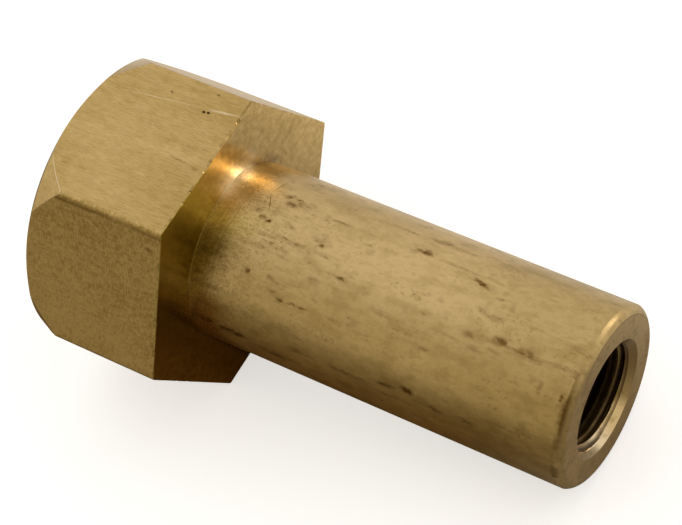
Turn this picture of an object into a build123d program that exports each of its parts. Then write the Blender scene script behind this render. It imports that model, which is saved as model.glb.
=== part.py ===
"""Long brass tank nut, turned from one length of hexagon bar.

The head keeps the bar's six flats. Its outer end is faced and turned to a long cone, which runs
out on each flat in a deep arc. Behind the shoulder the bar is turned down to a plain sleeve, with
the tool's nose radius left in the root, and the sleeve's end is faced, chamfered, countersunk and
drilled blind for a fine right-hand thread. The hole is drawn at the thread's tapping size.

Millimetres, +Z up. The nut lies as it comes to rest: on the shoulder edge of one flat and on the
rim of the sleeve, with the sleeve pointing along +X and a little down.
"""
import os
from math import atan2, degrees, radians, sqrt, tan

from build123d import *

# Hexagon bar
across_flats = 33.3
bar_corner_radius = 0.5

# Head
head_length = 18.4
cone_length = 4.7          # from the end face to where the cone meets the bar's corners
end_face_inset = 0.15      # the faced circle stays this far inside the flats
end_bevel_length = 0.8     # steeper edge break between the end face and the cone
end_bevel_rise = 1.05

# Sleeve
sleeve_diameter = 21.4
sleeve_length = 47.5
root_radius = 0.4          # the turning tool's nose
end_chamfer = 0.8

# Blind hole, tapped 12.7 mm by 26 threads to the inch
tapping_diameter = 11.45
countersink_diameter = 13.9
countersink_angle = 90.0
drilled_depth = 34.0       # to the end of the full diameter
drill_point_angle = 118.0

total_length = head_length + sleeve_length
flat_radius = across_flats / 2
face_radius = flat_radius - end_face_inset
corner_radius = across_flats / sqrt(3)
sleeve_radius = sleeve_diameter / 2
hole_radius = tapping_diameter / 2


def hexagon_bar():
    """The bar as bought, lying along +X with a flat on top and one below."""
    section = RegularPolygon(flat_radius, 6, major_radius=False)
    section = fillet(section.vertices(), bar_corner_radius)
    return extrude(Plane.YZ * section, total_length)


def turned_form():
    """The form that the lathe leaves, as a half section turned about the X axis."""
    with BuildSketch(Plane.XZ) as half:
        with BuildLine():
            outside = Polyline(
                (0, 0),
                (0, face_radius),
                (end_bevel_length, face_radius + end_bevel_rise),
                (cone_length, corner_radius),
                (head_length, corner_radius),
                (head_length, sleeve_radius + root_radius),
            )
            root = RadiusArc(
                outside @ 1,
                (head_length + root_radius, sleeve_radius),
                -root_radius,
            )
            Polyline(
                root @ 1,
                (total_length - end_chamfer, sleeve_radius),
                (total_length, sleeve_radius - end_chamfer),
                (total_length, 0),
                (0, 0),
            )
        make_face()
    return revolve(half.sketch, Axis.X)


def blind_hole():
    """The drilled hole with its conical bottom and the countersink at its mouth."""
    mouth_radius = countersink_diameter / 2
    sink_depth = (mouth_radius - hole_radius) / tan(radians(countersink_angle / 2))
    point_length = hole_radius / tan(radians(drill_point_angle / 2))
    bottom = total_length - drilled_depth
    with BuildSketch(Plane.XZ) as half:
        with BuildLine():
            Polyline(
                (total_length, 0),
                (total_length, mouth_radius),
                (total_length - sink_depth, hole_radius),
                (bottom, hole_radius),
                (bottom - point_length, 0),
                (total_length, 0),
            )
        make_face()
    return revolve(half.sketch, Axis.X)


def laid_down(nut):
    """The nut tipped onto its sleeve's rim, standing on z = 0 and centred in plan."""
    drop = flat_radius - sleeve_radius
    reach = sleeve_length - end_chamfer
    tipped = Rot(0, degrees(atan2(drop, reach)), 0) * nut
    box = tipped.bounding_box()
    centre = box.center()
    return Pos(-centre.X, -centre.Y, -box.min.Z) * tipped


tank_nut = laid_down((hexagon_bar() & turned_form()) - blind_hole())

os.makedirs("parts", exist_ok=True)
export_step(tank_nut, "parts/tank_nut.step")
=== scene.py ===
"""A long brass tank nut, turned from hexagon bar, lying at rest on a pale floor.

Sizes in the making are millimetres on the nut's own axis, which runs from the middle of the far
end of the head (x = 0) to the mouth of the tapped hole. The finished mesh is in metres.
"""
from math import atan2, cos, pi, radians, sin, sqrt, tan

import bpy
from mathutils import Matrix, Vector


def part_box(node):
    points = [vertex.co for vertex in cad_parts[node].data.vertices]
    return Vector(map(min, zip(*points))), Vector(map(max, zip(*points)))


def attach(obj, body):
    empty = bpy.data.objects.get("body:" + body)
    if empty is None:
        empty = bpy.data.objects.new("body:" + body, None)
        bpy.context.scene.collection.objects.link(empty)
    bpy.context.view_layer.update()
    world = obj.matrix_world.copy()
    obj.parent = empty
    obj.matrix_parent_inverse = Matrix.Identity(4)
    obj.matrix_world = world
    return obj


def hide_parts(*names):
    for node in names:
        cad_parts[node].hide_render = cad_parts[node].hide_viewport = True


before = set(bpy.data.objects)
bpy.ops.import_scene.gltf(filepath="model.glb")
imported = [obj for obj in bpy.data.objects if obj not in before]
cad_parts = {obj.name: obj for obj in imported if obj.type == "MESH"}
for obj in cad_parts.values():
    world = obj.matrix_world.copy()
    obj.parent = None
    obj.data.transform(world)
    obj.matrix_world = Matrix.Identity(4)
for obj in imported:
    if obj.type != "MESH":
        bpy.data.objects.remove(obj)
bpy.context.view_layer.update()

# ---------------------------------------------------------------------------------------------
# Turned body. One solid length of free-cutting brass hexagon bar, faced, coned and turned down
# in the lathe, then drilled, countersunk and tapped from the sleeve's end.

across_flats = 33.3
bar_corner_radius = 0.5
head_length = 18.4
cone_length = 4.7
end_face_inset = 0.15
end_bevel_length = 0.8
end_bevel_rise = 1.05
sleeve_diameter = 21.4
sleeve_length = 47.5
root_radius = 0.02         # a sharp tool: the shoulder is mirrored in the sleeve unbroken
end_chamfer = 0.8
chamfer_crown = 0.08       # the chamfer was broken by hand
tapping_diameter = 11.45
thread_diameter = 12.7
threads_per_inch = 26
threaded_turns = 29
countersink_diameter = 13.9
drilled_depth = 34.0
drill_point_angle = 118.0


class Wire:
    """An output of a node. Arithmetic on it adds Math nodes to its tree."""

    def __init__(self, tree, socket):
        self.tree, self.socket = tree, socket

    def math(self, operation, *values):
        return self.tree.add("ShaderNodeMath", {"operation": operation}, dict(enumerate(values)))[0]

    def __add__(self, other):
        return self.math("ADD", self, other)

    def __sub__(self, other):
        return self.math("SUBTRACT", self, other)

    def __rsub__(self, other):
        return self.math("SUBTRACT", other, self)

    def __mul__(self, other):
        return self.math("MULTIPLY", self, other)

    def __truediv__(self, other):
        return self.math("DIVIDE", self, other)

    def __rtruediv__(self, other):
        return self.math("DIVIDE", other, self)

    def __pow__(self, other):
        return self.math("POWER", self, other)

    def __lt__(self, other):
        return self.math("LESS_THAN", self, other)

    def __gt__(self, other):
        return self.math("GREATER_THAN", self, other)

    __radd__ = __add__
    __rmul__ = __mul__

    def low(self, other):
        return self.math("MINIMUM", self, other)

    def high(self, other):
        return self.math("MAXIMUM", self, other)

    def cos(self):
        return self.math("COSINE", self)

    def sin(self):
        return self.math("SINE", self)

    def abs(self):
        return self.math("ABSOLUTE", self)

    def floor(self):
        return self.math("FLOOR", self)

    def root(self):
        return self.math("SQRT", self)

    def ease(self, start, end):
        """0 up to start, 1 from end, with a smooth change between them."""
        span = {"From Min": start, "From Max": end, "Value": self}
        return self.tree.add("ShaderNodeMapRange", {"interpolation_type": "SMOOTHSTEP"}, span)[0]

    def to(self, socket):
        self.tree.tree.links.new(self.socket, socket)


class Tree:
    """A node tree that is written as expressions."""

    def __init__(self, tree):
        self.tree = tree

    def add(self, kind, settings=None, sockets=None):
        """One node: its settings first, then its sockets by name or number. Returns its outputs."""
        node = self.tree.nodes.new(kind)
        for name, value in (settings or {}).items():
            setattr(node, name, value)
        for name, value in (sockets or {}).items():
            if isinstance(value, Wire):
                value.to(node.inputs[name])
            else:
                node.inputs[name].default_value = value
        return [Wire(self, output) for output in node.outputs if output.enabled]


def mix(start, end, share):
    """The number a share of the way from start to end."""
    return start + (end - start) * share


nut_tree = bpy.data.node_groups.new("turned_nut", "GeometryNodeTree")
shape = Tree(nut_tree)
sizes = {}
for name, value in {
    "Across flats": across_flats, "Bar corner radius": bar_corner_radius,
    "Head length": head_length, "Cone length": cone_length, "End face inset": end_face_inset,
    "End bevel length": end_bevel_length, "End bevel rise": end_bevel_rise,
    "Sleeve diameter": sleeve_diameter, "Sleeve length": sleeve_length,
    "Root radius": root_radius, "End chamfer": end_chamfer, "Chamfer crown": chamfer_crown,
    "Tapping diameter": tapping_diameter, "Thread diameter": thread_diameter,
    "Pitch": 25.4 / threads_per_inch, "Threaded turns": threaded_turns,
    "Countersink diameter": countersink_diameter, "Drilled depth": drilled_depth,
    "Drill point length": tapping_diameter / 2 / tan(radians(drill_point_angle / 2)),
    "Thread start": 0.2, "Burr": 0.12, "Columns": 240, "Seed": 7.0,
}.items():
    kind = "NodeSocketInt" if isinstance(value, int) else "NodeSocketFloat"
    socket = nut_tree.interface.new_socket(name, in_out="INPUT", socket_type=kind)
    sizes[name] = (socket.identifier, value)
nut_tree.interface.new_socket("Geometry", in_out="OUTPUT", socket_type="NodeSocketGeometry")
given = dict(zip(sizes, shape.add("NodeGroupInput")))

# Every surface of the nut is one band of rows and columns wrapped round the axis. The columns
# crowd at the bar's six rounded corners on the head, and are even on all that is turned.
place = shape.add("ShaderNodeSeparateXYZ", {}, {0: shape.add("GeometryNodeInputPosition")[0]})
around, along = place[0] + 0.5, place[1] + 0.5
columns = given["Columns"]
bar_columns = columns * 3
flat_radius = given["Across flats"] / 2
corner_radius = given["Across flats"] / sqrt(3)
rounding = given["Bar corner radius"]
head, sleeve_radius = given["Head length"], given["Sleeve diameter"] / 2
total = head + given["Sleeve length"]

corner_reach = (flat_radius - rounding) * tan(radians(30)) / flat_radius
corner_reach = radians(30) - corner_reach.math("ARCTANGENT", corner_reach)
side = (around * 6).floor()
across = around * 6 - side
from_corner = across.low(1 - across)
corner_columns = 0.1
turn = mix(0, corner_reach, from_corner / corner_columns).low(corner_reach) + (
    (from_corner - corner_columns).high(0) / (0.5 - corner_columns)
    * (radians(30) - corner_reach))
bar_angle = side * radians(60) + mix(turn, radians(60) - turn, across > 0.5)
even_angle = around * (2 * pi)
paired_angle = (around * columns / 2 + 0.25).floor() / columns * (4 * pi)
thirds_angle = (around * columns + 0.5).floor() / columns * (2 * pi)

rounding_centre = (flat_radius - rounding) / cos(radians(30))
reach_on_flat = flat_radius / (radians(30) - turn).cos()
reach_on_corner = rounding_centre * turn.cos() + (
    rounding * rounding - (rounding_centre * turn.sin()) ** 2).high(0).root()
bar_radius = mix(reach_on_corner, reach_on_flat, turn > corner_reach)

face_radius = flat_radius - given["End face inset"]
bevel_rise, bevel_length = given["End bevel rise"], given["End bevel length"]
bevel_radius = face_radius + bevel_rise


def cone_place(radius):
    """How far from the end face the bevel or the cone reaches a radius."""
    bevel = (radius - face_radius) * (bevel_length / bevel_rise)
    cone = bevel_length + (radius - bevel_radius) * (
        (given["Cone length"] - bevel_length) / (corner_radius - bevel_radius))
    return bevel.high(cone)


bands = []


def band(rows, x, radius, angle, column_count=columns, drawn=0.0):
    """Adds one band of the surface. drawn marks the flats, which keep the bar's own finish."""
    sockets = {"Size X": 1.0, "Size Y": 1.0, "Vertices X": column_count + 1,
               "Vertices Y": rows + 1}
    grid = shape.add("GeometryNodeMeshGrid", {}, sockets)[0]
    spot = shape.add("ShaderNodeCombineXYZ", {}, {
        0: x, 1: radius * angle.cos(), 2: radius * angle.sin()})[0]
    placed = shape.add("GeometryNodeSetPosition", {}, {"Geometry": grid, "Position": spot})[0]
    bands.append(shape.add("GeometryNodeStoreNamedAttribute", {
        "data_type": "FLOAT", "domain": "FACE"}, {
        "Geometry": placed, "Name": "drawn", "Value": drawn})[0])


root = given["Root radius"]
shoulder_radius = sleeve_radius + root
swept = along * radians(90)
chamfer = given["End chamfer"]
mouth_radius = given["Countersink diameter"] / 2
bore_radius = given["Tapping diameter"] / 2

# Facing the shoulder leaves a ragged edge on the bar, roughest on the upper flat: nicks where
# the metal broke away, and a thin lip of burr between them.
rim = shape.add("ShaderNodeCombineXYZ", {}, {
    0: given["Seed"], 1: bar_angle.cos() * corner_radius, 2: bar_angle.sin() * corner_radius})[0]


def ragged(scale):
    """Uneven values round the rim, with that many lumps to a millimetre."""
    return shape.add("ShaderNodeTexNoise", {}, {"Vector": rim, "Scale": scale, "Detail": 2.0})[0]


rough = bar_angle.ease(radians(35), radians(62)) * mix(
    1, 0.35, bar_angle.ease(radians(116), radians(124))) * (
    1 - bar_angle.ease(radians(228), radians(236)))
nick = 0.05 + rough * given["Burr"] * (
    (ragged(0.9) - 0.54).high(0) * 16 + (ragged(0.33) - 0.5).high(0) * 6)
lip = rough * given["Burr"] * (1 - bar_angle.ease(radians(116), radians(120))) * (
    (ragged(1.7) - 0.58).high(0) * 12).low(1.2)

# Far end face, bevel, cone, flats with their corners, and the ragged edge at the shoulder.
band(3, 0.0, along * face_radius, bar_angle, bar_columns)
bevel_top = bevel_radius.low(bar_radius)
on_bevel = mix(face_radius, bevel_top, along)
band(1, cone_place(on_bevel), on_bevel, bar_angle, bar_columns)
on_cone = mix(bevel_top, bar_radius, along)
band(5, cone_place(on_cone), on_cone, bar_angle, bar_columns)
toward_shoulder = 1 - (1 - along) ** 2.2
band(8, mix(cone_place(bar_radius), head - nick, toward_shoulder),
     bar_radius + lip * (along > 0.99), bar_angle, bar_columns, drawn=1.0)
band(1, mix(head - nick, head, along), mix(bar_radius + lip, bar_radius - nick * 0.7, along),
     bar_angle, bar_columns)
# Shoulder, whose inner rim keeps every third column, then the root and the sleeve.
toward_root = along ** 1.6
band(7, head, mix(bar_radius - nick * 0.7, shoulder_radius, toward_root),
     mix(bar_angle, thirds_angle, toward_root), bar_columns)
band(6, head + root * (1 - swept.cos()), shoulder_radius - root * swept.sin(), even_angle)
band(48, mix(head + root, total - chamfer, along), sleeve_radius, even_angle)
crown = along * (1 - along) * 4 * given["Chamfer crown"]
band(5, total - chamfer + along * chamfer + crown, sleeve_radius - along * chamfer + crown,
     even_angle)
# End face, whose inner rim keeps every second column for the hole.
band(4, total, mix(sleeve_radius - chamfer, mouth_radius, along),
     mix(even_angle, paired_angle, along))
# Countersink and right-hand thread: the rows follow the helix and stop at both end planes.
rows_per_turn = 12
pitch, turns = given["Pitch"], given["Threaded turns"]
threaded = turns * pitch
thread_rows = (turns + 2) * rows_per_turn
turned_back = (along * thread_rows + 0.5).floor() / rows_per_turn
helix = total + pitch * (around + given["Thread start"] - turned_back)
row_x = helix.low(total).high(total - threaded)
from_crest = turned_back.math("PINGPONG", turned_back, 0.5)
crest_flat, flank = 1 / 12, 1 / 3
depth = (given["Thread diameter"] - given["Tapping diameter"]) / 2
form = ((from_crest - crest_flat) / flank).high(0).low(1)
run_out = (row_x - (total - threaded)) / (2 * pitch)
thread = bore_radius + depth * form * run_out.high(0).low(1)
countersink = mouth_radius - (total - row_x)
band(thread_rows, row_x, thread.high(countersink), even_angle, columns / 2)
# Plain end of the drilled hole and its conical bottom.
bottom = total - given["Drilled depth"]
band(3, mix(total - threaded, bottom, along), bore_radius, even_angle, columns / 2)
band(4, bottom - along * given["Drill point length"], bore_radius * (1 - along), even_angle,
     columns / 2)

joined = nut_tree.nodes.new("GeometryNodeJoinGeometry")
for one in reversed(bands):
    one.to(joined.inputs[0])
whole = shape.add("GeometryNodeMergeByDistance", {}, {
    "Geometry": Wire(shape, joined.outputs[0]), "Distance": 0.002})[0]

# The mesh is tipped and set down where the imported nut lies, in metres.
tip = atan2(across_flats / 2 - sleeve_diameter / 2, sleeve_length - end_chamfer)
high_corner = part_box("tank_nut")[1] * 1000
set_down = Vector((
    high_corner.x - (head_length + sleeve_length) * cos(tip)
    - (sleeve_diameter / 2 - end_chamfer) * sin(tip),
    0,
    head_length * sin(tip) + across_flats / 2 * cos(tip)))
laid = shape.add("GeometryNodeTransform", {}, {
    "Geometry": whole, "Translation": set_down / 1000, "Rotation": (0, tip, 0),
    "Scale": (0.001,) * 3})[0]
smooth = shape.add("GeometryNodeSetShadeSmooth", {"domain": "FACE"}, {
    "Geometry": laid, "Shade Smooth": True})[0]
bend = shape.add("GeometryNodeInputMeshEdgeAngle")[0]
creased = shape.add("GeometryNodeSetShadeSmooth", {"domain": "EDGE"}, {
    "Geometry": smooth, "Selection": bend > radians(24), "Shade Smooth": False})[0]

brass = bpy.data.materials.new("turned_brass")
brass.use_nodes = True
real = shape.add("GeometryNodeRealizeInstances", {}, {"Geometry": creased})[0]
finished = shape.add("GeometryNodeSetMaterial", {}, {"Geometry": real, "Material": brass})[0]
shape.add("NodeGroupOutput", {}, {"Geometry": finished})

blank = bpy.data.objects.new("bar_blank", bpy.data.meshes.new("bar_blank"))
bpy.context.scene.collection.objects.link(blank)
turning = blank.modifiers.new("turning", "NODES")
turning.node_group = nut_tree
for identifier, value in sizes.values():
    turning[identifier] = value
bpy.context.view_layer.update()
finished_blank = blank.evaluated_get(bpy.context.evaluated_depsgraph_get())
nut_mesh = bpy.data.meshes.new_from_object(finished_blank)
bpy.data.objects.remove(blank)
nut = bpy.data.objects.new("turned_nut", nut_mesh)
bpy.context.scene.collection.objects.link(nut)
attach(nut, "root")
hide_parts("tank_nut")

# ---------------------------------------------------------------------------------------------
# Finish. Bare brass, never plated or polished: the bar's drawn grain on the flats, the tool's
# marks on what is turned, and years of tarnish, darkest in corners and in the thread. It is laid
# out in millimetres on the nut's own axis, like the sizes, and angles go round it in degrees.

metal = Tree(brass.node_tree)
shader = brass.node_tree.nodes["Principled BSDF"]
axis_start = Matrix.Rotation(-tip, 3, "Y") @ set_down
spot = metal.add("ShaderNodeMapping", {}, {
    "Vector": metal.add("ShaderNodeTexCoord")[3], "Location": -axis_start,
    "Rotation": (0, -tip, 0), "Scale": (1000,) * 3})[0]
x, y, z = metal.add("ShaderNodeSeparateXYZ", {}, {0: spot})
radius = (y * y + z * z).root()
angle = z.math("ARCTAN2", z, y) * (180 / pi)
drawn = metal.add("ShaderNodeAttribute", {"attribute_name": "drawn"})[2]
flat, turned_radius = across_flats / 2, sleeve_diameter / 2
total_length = head_length + sleeve_length


def blotch(scale, detail=2.0, stretch=(1, 1, 1), at=spot, roughness=0.5):
    """Cloudy values about 0.5, with that many clouds to a millimetre."""
    placed = metal.add("ShaderNodeMapping", {}, {"Vector": at, "Scale": stretch})[0]
    return metal.add("ShaderNodeTexNoise", {}, {
        "Vector": placed, "Scale": scale, "Detail": detail, "Roughness": roughness})[0]


def swing(clouds, amount):
    """Cloudy values as so much of a change either way."""
    return (clouds - 0.5) * amount


def tint(start, end, share, blend="MIX"):
    """The colour a share of the way from start to end."""
    return share.tree.add("ShaderNodeMix", {"data_type": "RGBA", "blend_type": blend}, {
        "Factor": share, 6: start, 7: end})[0]


def between(value, low, high, soft):
    """1 between two values, 0 outside them."""
    return value.ease(low - soft, low + soft) * (1 - value.ease(high - soft, high + soft))


def height(facing):
    """How far a spot lies from the axis, measured in the direction of that angle."""
    return y * cos(radians(facing)) + z * sin(radians(facing))


# Grain of the drawn flats runs with the bar. The tool's marks run round what is turned.
grain = blotch(1.0, 3.0, (0.5, 8, 8))
fine_grain = blotch(1.0, 2.0, (1.6, 24, 24))
cross_grain = blotch(1.0, 2.0, (7, 1.6, 1.6))
cloud = blotch(0.16, 3.0, (0.5, 1, 1))
feed = metal.add("ShaderNodeCombineXYZ", {}, {
    0: (x + radius * 0.6) * 7 + cloud * 8, 1: y * 0.14, 2: z * 0.14})[0]
tool = blotch(1.0, 3.0, at=feed)
smear = blotch(1.0, 3.0, (0.1, 0.75, 0.75))
patch = blotch(0.5, 4.0, (0.6, 1, 1), roughness=0.62)
mottle = blotch(1.1, 3.0, (0.55, 1, 1), roughness=0.6)
speck = blotch(2.8, 2.0, (0.7, 1, 1))
mottled = mottle.ease(0.35, 0.65)

# Places with a finish of their own.
past_head = x > head_length - 0.1
sleeve = x > head_length + 0.1
worn = sleeve * (1 - x.ease(21, 32)) * angle.ease(55, 85)
# A painted sheen along the top of the sleeve.
painted_sheen_top = sleeve * (1 - (angle - 92).abs().ease(6, 24))
shoulder = between(x, head_length - 0.1, head_length + 0.3, 0.05) * (radius > turned_radius + 0.1)
upper_shoulder = shoulder * (1 - angle.ease(80, 105))
front_flat = drawn * (height(150) > flat - 0.3)
end_face = x > total_length - 0.05
countersink_area = (x > total_length - 1.4) * (radius < countersink_diameter / 2 + 0.05)

# How bright the metal is, from the dullest brass at 0.35 to the freshest at 1.4. A brighter band
# along the sleeve's top is a painted sheen, and the countersink is lifted partly as fresh-cut metal
# and partly as a painted highlight. The end face is made lighter, the front flat darker towards its
# upper edge and the other flats darker towards the shoulder.
turned_tone = (
    0.97 + swing(cloud, 0.7 + sleeve) + swing(smear, 0.3 + sleeve * 0.7)
    + swing(patch, 0.8 + sleeve * 2.8) + swing(tool, 0.3 + shoulder * 0.4)
    + (swing(mottle, 0.9 + worn * 2) + swing(speck, 0.8 + worn * 5.5)) * (1 - shoulder * 0.6)
    + upper_shoulder * (swing(mottle, 1.6) + swing(smear, 0.8))
    + countersink_area * (0.6 + swing(mottle, 2.2) + swing(speck, 2.2))
    + end_face * 0.5 + painted_sheen_top * 0.25)
drawn_tone = (
    1.0 + swing(grain, 1.7) + swing(fine_grain, 1.5) + swing(cloud, 0.7) + swing(mottle, 0.4)
    + (1 - front_flat) * (swing(smear, 0.7) + swing(mottle, 0.3) - x.ease(6, 18) * 0.17)
    + front_flat * (swing(speck, 1.6) + swing(cross_grain, 2.2) + swing(mottle, 0.7)
                    + (8.3 - z) * 0.025 + 0.06))
tone = (mix(turned_tone, drawn_tone, drawn) - 0.35) * 0.95
base = tint((0.44, 0.29, 0.085, 1), (0.72, 0.51, 0.215, 1), tone)
base = tint(base, (0.66, 0.5, 0.27, 1), sleeve * 0.35)
# The sleeve is made darker towards the mouth.
base = tint(base, (0.86, 0.85, 0.78, 1), x.ease(47, 59) * (radius > turned_radius - 1), "MULTIPLY")

# On one side the shoulder and the sleeve beside it are tinted olive, partly tarnish and partly painted
# shade. The darkest part, on the sleeve, is a painted reflection of the dark shoulder.
olive_side = angle.ease(83, 104) * (1 - angle.ease(150, 172))
painted_shade_side = angle.ease(100, 122) * (1 - angle.ease(140, 165))
olive_reach = 1 - (x + (angle - 111) * 0.12 + swing(mottle, 6)).ease(20, 25.5)
olive = olive_side * past_head * olive_reach.high(shoulder)
base = tint(base, (0.96, 0.92, 0.78, 1), shoulder, "MULTIPLY")
base = tint(base, (0.92, 0.95, 0.7, 1), olive, "MULTIPLY")
base = tint(base, (0.92, 1, 0.9, 1), olive * shoulder, "MULTIPLY")
# Painted shade: the sleeve beside the shoulder is darkened where it mirrors the dark shoulder.
base = tint(base, (0.62, 0.59, 0.5, 1), olive * painted_shade_side * sleeve, "MULTIPLY")

# Single marks. Each is its place along the axis, its place across the flat or its angle on the
# sleeve, its length, width, turn and strength. Stains have drifting, uneven outlines.
mark_depth = 2.5
drift = (1.3, 0.7, 0.7)
warp = metal.add("ShaderNodeTexNoise", {}, {"Vector": spot, "Scale": 1.3, "Detail": 3.0})[1]
drifted = metal.add("ShaderNodeVectorMath", {"operation": "MULTIPLY_ADD"}, {
    0: warp, 1: drift, 2: spot})[0]


def marked(marks, soft, drifting=False):
    """How strongly the marks lie here: soft is where each starts to fade, from 0 to 1."""
    total = None
    for along, across, facing, from_axis, length, width, turned, strength in marks:
        face = Matrix.Rotation(radians(facing), 3, "X")
        centre = face @ Vector((along, from_axis, across))
        if drifting:
            centre += Vector(drift) / 2
        own = metal.add("ShaderNodeMapping", {"vector_type": "TEXTURE"}, {
            "Vector": drifted if drifting else spot, "Location": centre,
            "Rotation": (face @ Matrix.Rotation(radians(-turned), 3, "Y")).to_euler(),
            "Scale": (length / 2, mark_depth, width / 2)})[0]
        away = metal.add("ShaderNodeVectorMath", {"operation": "LENGTH"}, {0: own})[0]
        share = (1 - away.ease(soft, 1)) * strength
        total = total.high(share) if total else share
    return total


def on_sleeve(*marks):
    return [(along, 0, facing, turned_radius, *rest) for along, facing, *rest in marks]


def on_flat(facing, *marks):
    return [(along, across, facing, flat, *rest) for along, across, *rest in marks]


stains = on_sleeve(
    (23.4, 88, 1.6, 1.2, 20, 0.5), (24.3, 91.5, 1.6, 1.0, -20, 0.8), (25.1, 92.8, 1.1, 0.9, 0, 1),
    (25.2, 85.6, 1.3, 0.9, 0, 0.5), (25.6, 71, 2.4, 1.0, -25, 0.9), (26.8, 70.5, 1.2, 0.7, 0, 1),
    (26.4, 76, 2.6, 1.5, 0, 0.75), (27.7, 73.5, 2.6, 1.5, 10, 0.75), (32.4, 94.7, 1.5, 0.7, 0, 0.6),
    (32.6, 75.0, 4.4, 0.7, 0, 0.4), (35.2, 108.5, 2.4, 0.6, 0, 0.5), (36.6, 108.9, 3.2, 0.8, 2, 0.9),
    (30.2, 133.7, 1.7, 1.7, 0, 1), (29.2, 131, 3.4, 1.8, 20, 0.5), (32.3, 133.7, 4.4, 0.7, -2, 0.9),
    (28.3, 124, 1.3, 1.0, 0, 0.5), (25.4, 124.6, 1.4, 1.0, 10, 0.7), (21.5, 117.9, 1.3, 1.0, 0, 0.5),
    (43.0, 70.2, 4.6, 1.6, 0, 0.55), (39.0, 59.5, 7.5, 0.9, 0, 0.5), (46.8, 108.3, 4, 0.9, 3, 0.4),
    (50.8, 78.0, 3.8, 0.9, 17, 1), (53.8, 83.4, 1.3, 0.9, 0, 0.6), (52.6, 110, 3.2, 1.4, 0, 0.5),
    (56.1, 106.7, 2.8, 1.7, 0, 0.75), (59.1, 107.5, 3.4, 1.5, 0, 0.6), (55.5, 108.8, 10, 0.9, -3, 0.4),
    (44.5, 160.5, 4.4, 1.0, -8, 0.8), (47.1, 158.0, 3.2, 1.5, 12, 1), (50.0, 163, 6.5, 1.1, 5, 0.7),
    (54.1, 162.2, 3.6, 1.1, 2, 0.8), (58.0, 155, 5, 0.8, 0, 0.4), (47.8, 128.5, 6, 0.8, 0, 0.3),
    (64.6, 124, 1.0, 3.2, 10, 0.6), (65.0, 146, 0.8, 5.0, 0, 0.5), (61.8, 122.5, 1.0, 2.4, 0, 0.35),
    (26.8, 46.2, 1.5, 0.9, 0, 0.6), (33.5, 164, 6, 1.2, 0, 0.5), (40, 165, 8, 0.9, 0, 0.4),
    (45.5, 168, 7, 1.0, 0, 0.5), (62.0, 60, 4, 1.2, 0, 0.3), (20.3, 170.0, 5, 2.0, 0, 0.9),
    (24.4, 172.5, 7, 1.9, 0, 0.9), (29.5, 176.5, 10, 1.7, 0, 0.75), (24, 190, 16, 2.2, 0, 0.6))
stains += on_flat(90, (14.7, 0.5, 3.6, 0.5, 3, 0.45), (17.2, 0.7, 2.6, 0.8, 0, 0.5),
                  (14.7, -1.5, 2.8, 0.4, 0, 0.3), (16.9, -1.8, 2.6, 0.5, 0, 0.35))
stains += on_flat(150, (16.9, -7.0, 1.3, 0.8, 0, 0.7), (17.9, 5.0, 0.7, 1.6, 0, 0.6),
                  (17.7, 2.5, 0.6, 0.8, 0, 0.5))
pits = on_flat(90, (13.95, -6.15, 0.6, 0.42, 0, 1), (14.5, -6.25, 0.55, 0.4, 0, 1),
               (9.0, -7.1, 0.36, 0.25, 0, 0.8), (14.3, -8.8, 0.6, 0.25, 0, 0.6))
scratches = on_flat(90, (8.5, -5.9, 13, 0.2, -8, 0.6), (16.2, -6.95, 5.2, 0.4, -8, 0.9))
cuts = on_sleeve((23.95, 80.4, 2.9, 0.16, 62.5, 1), (23.55, 65.5, 3.1, 0.16, -80.7, 1))
pit = marked(pits, 0.5)
scratch = marked(scratches, 0.3)
cut = marked(cuts, 0.4)

# Tarnish also lies in drifts of specks, in streaks and patches along the sleeve, in dashes along the
# grain and in a line under the front flat's upper edge. The dark band across the lower shoulder is a
# painted reflection of the sleeve's shaded underside.
drifts = blotch(0.3, 2.0, (0.7, 1, 1)).ease(0.46, 0.64)
specks = speck.ease(0.52, 0.7) * drifts.high(worn * 0.7) * mix(0.3, 0.65, worn) * sleeve
streaks = smear.ease(0.56, 0.74) * mix(0.1, 0.5, mottled) * sleeve
patches = patch.ease(0.54, 0.72) * 0.36 * sleeve
dashes = grain.ease(0.55, 0.7) * 0.32 * drawn
# Painted reflection: the lower shoulder is darkened where it mirrors the sleeve's shaded underside.
painted_reflection_band = shoulder * (1 - (height(20) + 10.3).abs().ease(0.1, 0.9)) * (1 - z.ease(4, 12)) * 0.7
edge_line = front_flat * (1 - (height(60) - 8.9).abs().ease(0.05, 0.35)) * mix(
    0.1, 0.8, smear.ease(0.35, 0.65))
broken_up = mix(0.25, 1.25, mix(mottle, speck, worn * 0.7).ease(0.4, 0.58))
# Real stains and tarnish, with the painted reflection band added in.
stain_and_painted_band = marked(stains, 0.0, drifting=True) * broken_up + specks + streaks + patches + dashes + (
    painted_reflection_band + edge_line)

# Dirt stays in the root, at the rim of the chamfer, in the ragged edge and in the thread's grooves.
# The root is also darkened as painted shade, except along the side where the lamp's highlight runs,
# and the dirt is packed beside that side. Deep in the hole the thread is painted darker, and the
# countersink is painted darker on one side and, as a painted highlight, paler on the other.
corner_gap = (x - head_length).high(radius - turned_radius)
highlight_side = (height(71) / radius).ease(0.93, 0.985)
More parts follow.
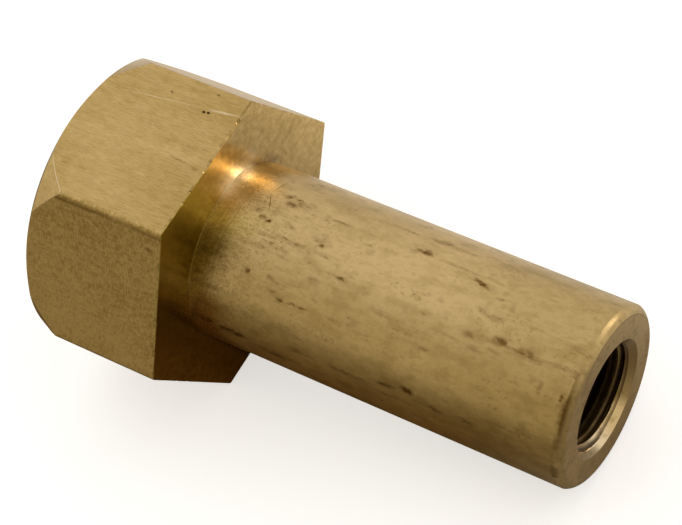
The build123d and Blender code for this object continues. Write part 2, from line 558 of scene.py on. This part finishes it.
# Painted shade in the root, left off where the lamp's highlight runs.
root_painted_shade = (1 - highlight_side) * (1 - corner_gap.ease(0.04, 0.3)) * mix(0.24, 0.32, mottled)
packed_dirt = (1 - angle.ease(50, 58)) * (angle > 0) * (1 - corner_gap.ease(0.1, 1.3)) * mix(
    0.1, 0.7, patch.ease(0.38, 0.6))
root_dirt_and_shade = root_painted_shade.high(packed_dirt) * past_head
rim_gap = (x - (total_length - end_chamfer)).abs()
chamfer_dirt = (1 - rim_gap.ease(0.05, 0.7)) * blotch(0.35).ease(0.33, 0.55) * (
    radius > turned_radius - 1) * mix(0.6, 0.9, mottled) * mix(0.15, 1, angle.ease(108, 124))
edge_dirt = between(x, head_length - 0.3, head_length - 0.04, 0.03) * (
    radius > turned_radius + 2) * blotch(0.9).ease(0.5, 0.62) * 0.4
in_thread = (radius < thread_diameter / 2 + 0.05) * (x < total_length - 0.7) * (x > head_length)
groove_dirt = in_thread * radius.ease(tapping_diameter / 2 + 0.075, thread_diameter / 2 - 0.2)
# Painted shade: the thread darkens the deeper it lies in the hole.
hole_painted_shade = in_thread * (1 - x.ease(total_length - 3.5, total_length - 1.2))
# Painted shade on one side of the countersink.
mouth_painted_shade = countersink_area * (y / radius).ease(0.45, 0.95) * 0.5
tarnish = (0.17, 0.088, 0.018, 1)
grime = (0.075, 0.035, 0.012, 1)
# Painted highlight on the other side of the countersink.
mouth_painted_highlight = countersink_area * (0 - y / radius).ease(-0.1, 0.4) * 0.9
base = tint(base, (0.96, 0.77, 0.5, 1), mouth_painted_highlight)
base = tint(base, tarnish, stain_and_painted_band.high(root_dirt_and_shade).high(chamfer_dirt).high(mouth_painted_shade).low(1))
base = tint(base, grime, edge_dirt.high(pit).high(groove_dirt * 0.75).high(hole_painted_shade).low(1))

# Scratches show bare, pale metal. The same pale colour is a painted highlight around the root where
# the lamp's highlight crosses it, and a painted glint along the cone's edge on the front flats.
# Painted highlight around the root, on the side where the lamp's highlight runs.
painted_highlight = highlight_side * (1 - corner_gap.ease(0.1, 3.0)) * past_head * mix(
    0.8, 1, speck.ease(0.38, 0.58))
bevel_rim = flat - end_face_inset + end_bevel_rise
cone_slope = (cone_length - end_bevel_length) / (across_flats / sqrt(3) - bevel_rim)
cone_gap = (x - end_bevel_length - (radius - bevel_rim) * cone_slope).abs()
# Painted glint along the cone's edge.
painted_edge_glint = (1 - cone_gap.ease(0.02, 0.16)) * drawn * (1 - (y + 8).abs().ease(1, 4))
pale_scratch_and_highlight = (scratch * 0.7).high(painted_highlight * 0.9).high(painted_edge_glint * 0.9)
base = tint(base, (0.86, 0.7, 0.46, 1), pale_scratch_and_highlight)
base = tint(base, tarnish, cut * 0.7)

turned_roughness = mix(0.24, 0.38, x.ease(20, 26)) - countersink_area * 0.2 - shoulder * 0.05
roughness = mix(turned_roughness, 0.34, drawn) + swing(mottle, 0.14) + swing(cloud, 0.1) + (
    stain_and_painted_band * 0.12)
smooth_area = shoulder.high(countersink_area)
turned_relief = (tool * 1.6 + mottle * 1.2 + speck * 0.5) * (1 - smooth_area * 0.85)
relief = mix(turned_relief, grain * 0.8 + fine_grain * 0.5, drawn) - pit * 4 - cut * 2
bump = metal.add("ShaderNodeBump", {}, {"Strength": 0.7, "Distance": 0.00002, "Height": relief})[0]
shader.inputs["Metallic"].default_value = 1.0
base.to(shader.inputs["Base Color"])
roughness.to(shader.inputs["Roughness"])
bump.to(shader.inputs["Normal"])

# ---------------------------------------------------------------------------------------------
# Floor. A wide sheet of matt paper. The lens sees it white, with the nut's shadow on it. What the
# brass
# mirrors of it is painted: a dark brownish painted shade under and before the nut, lighter behind it,
# and a painted glow on the paper just behind the nut.

reach = 6.0
corners = [(-reach, -reach, 0), (reach, -reach, 0), (reach, reach, 0), (-reach, reach, 0)]
floor_mesh = bpy.data.meshes.new("floor")
floor_mesh.from_pydata(corners, [], [(0, 1, 2, 3)])
floor = bpy.data.objects.new("floor", floor_mesh)
bpy.context.scene.collection.objects.link(floor)
paper = bpy.data.materials.new("white_paper")
paper.use_nodes = True
sheet = Tree(paper.node_tree)
finish = paper.node_tree.nodes["Principled BSDF"]
path = {wire.socket.name: wire for wire in sheet.add("ShaderNodeLightPath")}
lens = path["Is Camera Ray"]
mirrored = path["Is Glossy Ray"].high(path["Is Transmission Ray"])
floor_x, floor_y, _ = sheet.add("ShaderNodeSeparateXYZ", {}, {
    0: sheet.add("ShaderNodeTexCoord")[3]})
past_ends = (floor_x.abs() - 0.03).high(0)
away = (past_ends * past_ends + floor_y * floor_y).root()
behind = floor_y.ease(-0.008, 0.02).high(floor_x.ease(0.012, 0.034) * 0.9)
# Painted shade: near the nut the paper has a dark brownish tone for every ray but the lens.
paper_tone_and_painted_shade = tint((0.21, 0.12, 0.03, 1), (0.29, 0.25, 0.16, 1), away.ease(0.002, 0.06))
paper_tone_and_painted_shade = tint(paper_tone_and_painted_shade, (0.48, 0.46, 0.43, 1), behind)
paper_tone_and_painted_shade = tint(paper_tone_and_painted_shade, (0.8, 0.8, 0.8, 1), lens)
seen_light = lens * mix(0.58, 0.76, away.ease(0.01, 0.12))
# A painted glow on the paper behind the nut, seen only in the brass.
mirrored_light = mirrored * floor_y.ease(0.009, 0.036) * mix(0.6, 0.28, floor_y.ease(0.04, 0.08))
paper_light = tint((0, 0, 0, 1), (1, 1, 1, 1), seen_light + mirrored_light)
paper_tone_and_painted_shade.to(finish.inputs["Base Color"])
paper_light.to(finish.inputs["Emission Color"])
finish.inputs["Emission Strength"].default_value = 1.0
finish.inputs["Roughness"].default_value = 1.0
finish.inputs["Specular IOR Level"].default_value = 0.0
floor_mesh.materials.append(paper)

# ---------------------------------------------------------------------------------------------
# Light. A pale surround, brightest behind the nut and dimmest at its right front, which the lens
# sees as white, and one soft lamp low behind on the right.

world = bpy.data.worlds.new("studio")
bpy.context.scene.world = world
world.use_nodes = True
room = Tree(world.node_tree)
ray = {wire.socket.name: wire for wire in room.add("ShaderNodeLightPath")}
toward = room.add("ShaderNodeSeparateXYZ", {}, {0: room.add("ShaderNodeTexCoord")[0]})
front = (0 - toward[1]).ease(-0.05, 0.95)
right_front = toward[0].ease(0.0, 0.5) * (0 - toward[1]).ease(0.0, 0.4)
surround = tint((0.81, 0.78, 0.74, 1), (0.55, 0.505, 0.375, 1), front)
surround = tint(surround, (0.23, 0.19, 0.09, 1), right_front)
surround = tint(surround, (1, 1, 1, 1), ray["Is Camera Ray"])
surround.to(world.node_tree.nodes["Background"].inputs["Color"])

light = bpy.data.lights.new("warm_lamp", "AREA")
light.size, light.energy, light.color = 0.12, 0.42, (1.0, 0.94, 0.98)
lamp = bpy.data.objects.new("warm_lamp", light)
lamp_side = Vector((0.547, 0.809, 0.216)).normalized()
lamp_distance = 0.7
lamp.location = lamp_side * lamp_distance
lamp.rotation_euler = lamp_side.to_track_quat("Z", "Y").to_euler()
bpy.context.scene.collection.objects.link(lamp)

# ---------------------------------------------------------------------------------------------
# Camera. A long lens on the nut's front side, about 50 degrees above the floor.

camera = bpy.data.objects.new("camera", bpy.data.cameras.new("camera"))
camera.data.sensor_width, camera.data.lens = 36.0, 122.589
right = Vector((0.81502, 0.50099, -0.29112))
down = Vector((0.27585, -0.77731, -0.56541))
forward = Vector((-0.50956, 0.38052, -0.77172))
stand = Matrix.Translation((0.13275, -0.09778, 0.21954))
camera.matrix_world = stand @ Matrix((right, -down, -forward)).transposed().to_4x4()
bpy.context.scene.collection.objects.link(camera)
bpy.context.scene.camera = camera
bpy.context.scene.view_settings.view_transform = "Standard"
